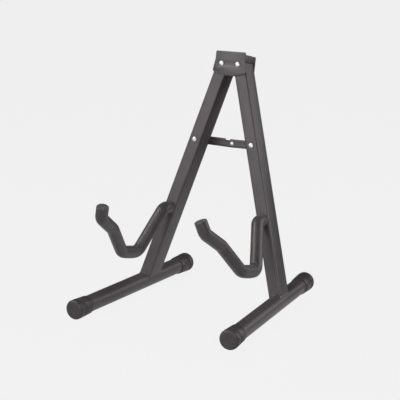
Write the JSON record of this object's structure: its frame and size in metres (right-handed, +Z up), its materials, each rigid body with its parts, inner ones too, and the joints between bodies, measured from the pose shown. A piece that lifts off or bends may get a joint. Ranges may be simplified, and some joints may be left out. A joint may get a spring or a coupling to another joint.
{
  "type": "folding A-frame guitar stand",
  "caption": "Folding A-frame floor stand for a guitar, with foam-covered cradle arms, rubber-capped feet and a folding crossbar.",
  "frame": {"origin": "on the floor, midway between the two feet", "axes": "+X to the stand's own right seen from the front, -Y out of the front where the guitar rests, +Z up"},
  "size_m": [0.3058, 0.3188, 0.3999],
  "materials": {
    "coated_steel": "satin charcoal powder coat",
    "black_rubber": "moulded, slightly glossy",
    "black_plastic": "moulded, satin",
    "black_foam": "closed-cell foam, smooth skin",
    "zinc_steel": "bright"
  },
  "bodies": {
    "hinge_bracket": {"bracket_front_plate": "coated_steel", "bracket_rear_channel": "coated_steel", "left_hinge_rivet": "zinc_steel", "right_hinge_rivet": "zinc_steel"},
    "left_leg": {"left_leg_tube": "coated_steel", "left_leg_plug": "black_plastic", "left_foot_tube": "coated_steel", "left_front_cap": "black_rubber", "left_rear_cap": "black_rubber", "left_arm_rod": "coated_steel", "left_foam_sleeve": "black_foam", "left_hinge_front_washer": "black_plastic", "left_hinge_rear_washer": "black_plastic", "left_link_rivet": "zinc_steel", "left_link_washer": "zinc_steel"},
    "right_leg": {"right_leg_tube": "coated_steel", "right_leg_plug": "black_plastic", "right_foot_tube": "coated_steel", "right_front_cap": "black_rubber", "right_rear_cap": "black_rubber", "right_arm_rod": "coated_steel", "right_foam_sleeve": "black_foam", "right_hinge_front_washer": "black_plastic", "right_hinge_rear_washer": "black_plastic", "right_link_rivet": "zinc_steel", "right_link_washer": "zinc_steel"},
    "left_crossbar_half": {"left_link": "coated_steel", "centre_rivet_tail": "zinc_steel"},
    "right_crossbar_half": {"right_link": "coated_steel", "centre_rivet_head": "zinc_steel"}
  },
  "joints": [
    {"name": "left_leg_fold", "type": "hinge", "parent": "hinge_bracket", "child": "left_leg", "pos_m": [-0.0147, 0.11786, 0.37636], "axis": [0, -0.9785, 0.2062], "range_deg": [0, 15.9]},
    {"name": "right_leg_fold", "type": "hinge", "parent": "hinge_bracket", "child": "right_leg", "pos_m": [0.0147, 0.11786, 0.37636], "axis": [0, 0.9785, -0.2062], "range_deg": [0, 15.9]},
    {"name": "left_crossbar_fold", "type": "hinge", "parent": "left_leg", "child": "left_crossbar_half", "pos_m": [-0.05202, 0.11157, 0.24808], "axis": [0, -0.9785, 0.2062], "range_deg": [0, 57.48]},
    {"name": "right_crossbar_fold", "type": "hinge", "parent": "right_leg", "child": "right_crossbar_half", "pos_m": [0.05202, 0.10922, 0.24857], "axis": [0, 0.9785, -0.2062], "range_deg": [0, 57.48]}
  ],
  "couplings": [
    {"joint": "right_leg_fold", "follows": "left_leg_fold", "ratio": 1},
    {"joint": "left_crossbar_fold", "follows": "left_leg_fold", "ratio": 3.6142},
    {"joint": "right_crossbar_fold", "follows": "left_leg_fold", "ratio": 3.6142}
  ]
}
